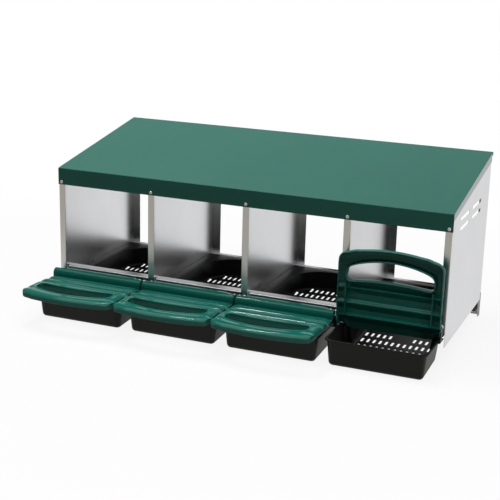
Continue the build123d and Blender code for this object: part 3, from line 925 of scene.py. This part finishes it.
finishes = {
    "green_paint": roof_enamel(),
    "galvanised_steel": galvanised_sheet(),
    "black_plastic": pan_plastic(),
    "green_plastic": lid_plastic(),
    "screw_steel": bright_zinc(),
}
slot_of = {part["node"]: part["material_slot"] for part in frame["record"]["subparts"]}
for name, node in frame["nodes"].items():
    node.data.materials.clear()
    node.data.materials.append(finishes[slot_of[name]])


def stands_for(piece, node, body="box", finish=None):
    """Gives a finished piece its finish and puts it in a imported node's stead."""
    piece.data.materials.clear()
    piece.data.materials.append(finish or finishes[slot_of[node]])
    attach(piece, body)
    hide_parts(node)


# Putting the pieces in their places
lid = model_lid()
for bay in range(4):
    turn = (-pi / 2 if bay == 3 else 0.0, 0.0, 0.0)
    copy = copy_to(lid, f"moulded_lid_{bay + 1}", (bay_x[bay], hinge_y, hinge_z), turn)
    stands_for(copy, f"perch_lid_{bay + 1}", f"lid_{bay + 1}")
bpy.data.objects.remove(lid)

pan = model_pan()
for bay in range(4):
    copy = copy_to(pan, f"moulded_pan_{bay + 1}", (bay_x[bay], 0.0, 0.0))
    if bay == 3:
        copy = join([copy, pan_lug(0.012, bay_x[bay] + 0.1404)])
    stands_for(copy, f"nest_pan_{bay + 1}")
bpy.data.objects.remove(pan)

roof = model_roof()
roof.name = "folded_roof"
stands_for(roof, "roof_panel")
for name, outer, inward in (("left_end", -box_half, 1.0), ("right_end", box_half, -1.0)):
    end = model_end(outer, inward)
    end.name = f"folded_{name}"
    stands_for(end, f"{name}_panel")
foot_finish = shaded_foot_zinc()
for name, outer, inward in (("left", -box_half, 1.0), ("right", box_half, -1.0)):
    foot = model_foot(outer, inward)
    foot.name = f"folded_foot_{name}"
    stands_for(foot, f"rear_foot_{name}", finish=foot_finish)
for wall in (1, 2, 3):
    divider = model_divider(web_x[wall])
    divider.name = f"folded_divider_{wall}"
    stands_for(divider, f"divider_{wall}")
for bay in range(4):
    relief_right = web_x[4] + sheet - sill_relief if bay == 3 else None
    sill = model_sill(web_x[bay] + sheet, web_x[bay + 1], web_x[bay] + sill_relief, relief_right)
    sill.name = f"rolled_sill_{bay + 1}"
    stands_for(sill, f"front_sill_{bay + 1}")

screw = model_screw()
for node, name, y, z, across in (
    ("fascia_screws", "fascia_screw", face_y, fascia_screw_z, (-0.589, -0.28975, 0.0095, 0.30875, 0.589)),
    ("post_screws", "post_screw", web_front, post_screw_z, (-0.587, -0.28775, 0.0115, 0.31075, 0.588)),
):
    row = join([
        copy_to(screw, f"{name}_{spot}", (x, y, z), (0.0, 0.7 * spot, 0.0)) for spot, x in enumerate(across)
    ])
    row.name = f"{name}_row"
    stands_for(row, node)
bpy.data.objects.remove(screw)


# Floor, light and camera
def stage_floor():
    """Pale floor that keeps the shadow and fades to white."""
    bpy.ops.object.select_all(action="DESELECT")
    bpy.ops.mesh.primitive_plane_add(size=40.0, location=(0.0, 0.0, -0.0004))
    floor = bpy.context.object
    floor.name = "studio_floor"
    made = Finish("floor_white")
    seen = made.node("LightPath", None, "Is Camera Ray")
    mirrored = made.mirrored()
    # in reflections, dim towards the dark end of the room, in front, and white behind
    behind = made.along("Y").ramp(-0.9, 0.2)
    paper = made.mix(seen, (0.22, 0.22, 0.22), (0.95, 0.95, 0.95))
    matt = made.node("BsdfDiffuse", None, 0, Color=paper)
    glow = made.node("Emission", None, 0, Color=(1.0, 1.0, 1.0), Strength=1.0)
    dim = made.node("Emission", None, 0, Color=(0.475, 0.448, 0.380), Strength=1.0)
    white = made.node("Emission", None, 0, Color=(0.93, 0.93, 0.93), Strength=1.0)
    room = made.node("MixShader", None, 0, i0=behind, i1=dim, i2=white)
    from_middle = made.node("VectorMath", {"operation": "LENGTH"}, "Value", i0=made.place((0.75, 1.0, 1.0)))
    away = from_middle.ramp(0.6, 1.6)
    lit = made.node("MixShader", None, 0, i0=seen * (away * 0.12 + 0.88), i1=matt, i2=glow)
    blend = made.node("MixShader", None, 0, i0=mirrored * 0.85, i1=lit, i2=room)
    floor.data.materials.append(made.surface(blend))


def stage_light(name, place, aim, size, power):
    """Oblong area light at a place, turned to what it lights."""
    data = bpy.data.lights.new(name, "AREA")
    data.shape = "RECTANGLE"
    data.size, data.size_y = size
    data.energy = power
    lamp = bpy.data.objects.new(name, data)
    bpy.context.scene.collection.objects.link(lamp)
    lamp.location = place
    lamp.rotation_euler = (Vector(aim) - Vector(place)).to_track_quat("-Z", "Y").to_euler()


def stage_world():
    """White to the camera, a little fill, and a room to be mirrored: dark in front, pale behind."""
    world = bpy.data.worlds.new("studio_white")
    bpy.context.scene.world = world
    world.use_nodes = True
    made = Finish("studio_white", world.node_tree)
    seen = made.node("LightPath", None, "Is Camera Ray")
    mirrored = made.mirrored()
    way = made.node("TexCoord", None, "Generated")
    behind = made.node("SeparateXYZ", None, "Y", Vector=way).ramp(-0.55, 0.35)
    above = made.node("SeparateXYZ", None, "Z", Vector=way).ramp(0.28, 0.46)
    white = made.node("Background", None, 0, Color=(1.0, 1.0, 1.0), Strength=1.0)
    fill = made.node("Background", None, 0, Color=(0.95, 0.97, 1.0), Strength=0.04)
    shine = (behind * 0.76 + 0.12) * (1.0 - above * 0.58)
    room = made.node("Background", None, 0, Color=(1.0, 1.0, 1.0), Strength=shine)
    light = made.node("MixShader", None, 0, i0=mirrored, i1=fill, i2=room)
    blend = made.node("MixShader", None, 0, i0=seen, i1=light, i2=white)
    output = made.tree.nodes.new("ShaderNodeOutputWorld")
    made.tree.links.new(blend.socket, output.inputs["Surface"])


def stage_camera():
    """Camera at the photograph's angle, leaning a little to one side."""
    data = bpy.data.cameras.new("photo_camera")
    data.lens = 83.02
    data.sensor_width = 36.0
    camera = bpy.data.objects.new("photo_camera", data)
    bpy.context.scene.collection.objects.link(camera)
    round_box, downwards, lean = 0.388461, 0.278776, 0.025415
    turn = (
        Matrix.Rotation(round_box, 4, "Z")
        @ Matrix.Rotation(pi / 2 - downwards, 4, "X")
        @ Matrix.Rotation(lean, 4, "Z")
    )
    camera.matrix_world = Matrix.Translation((1.21480, -3.02222, 1.14750)) @ turn
    bpy.context.scene.camera = camera


stage_floor()
stage_world()
stage_light("top_softbox", (0.0, -0.25, 2.8), (0.0, -0.2, 0.2), (4.4, 3.0), 82.0)
stage_light("top_strip", (-0.80, 0.25, 2.6), (0.0, -0.2, 0.1), (0.9, 0.07), 18.0)
stage_light("right_strip", (2.30, -0.95, 0.45), (0.59, -0.15, 0.25), (0.08, 1.2), 3.5)
stage_camera()
bpy.context.scene.view_settings.view_transform = "Standard"
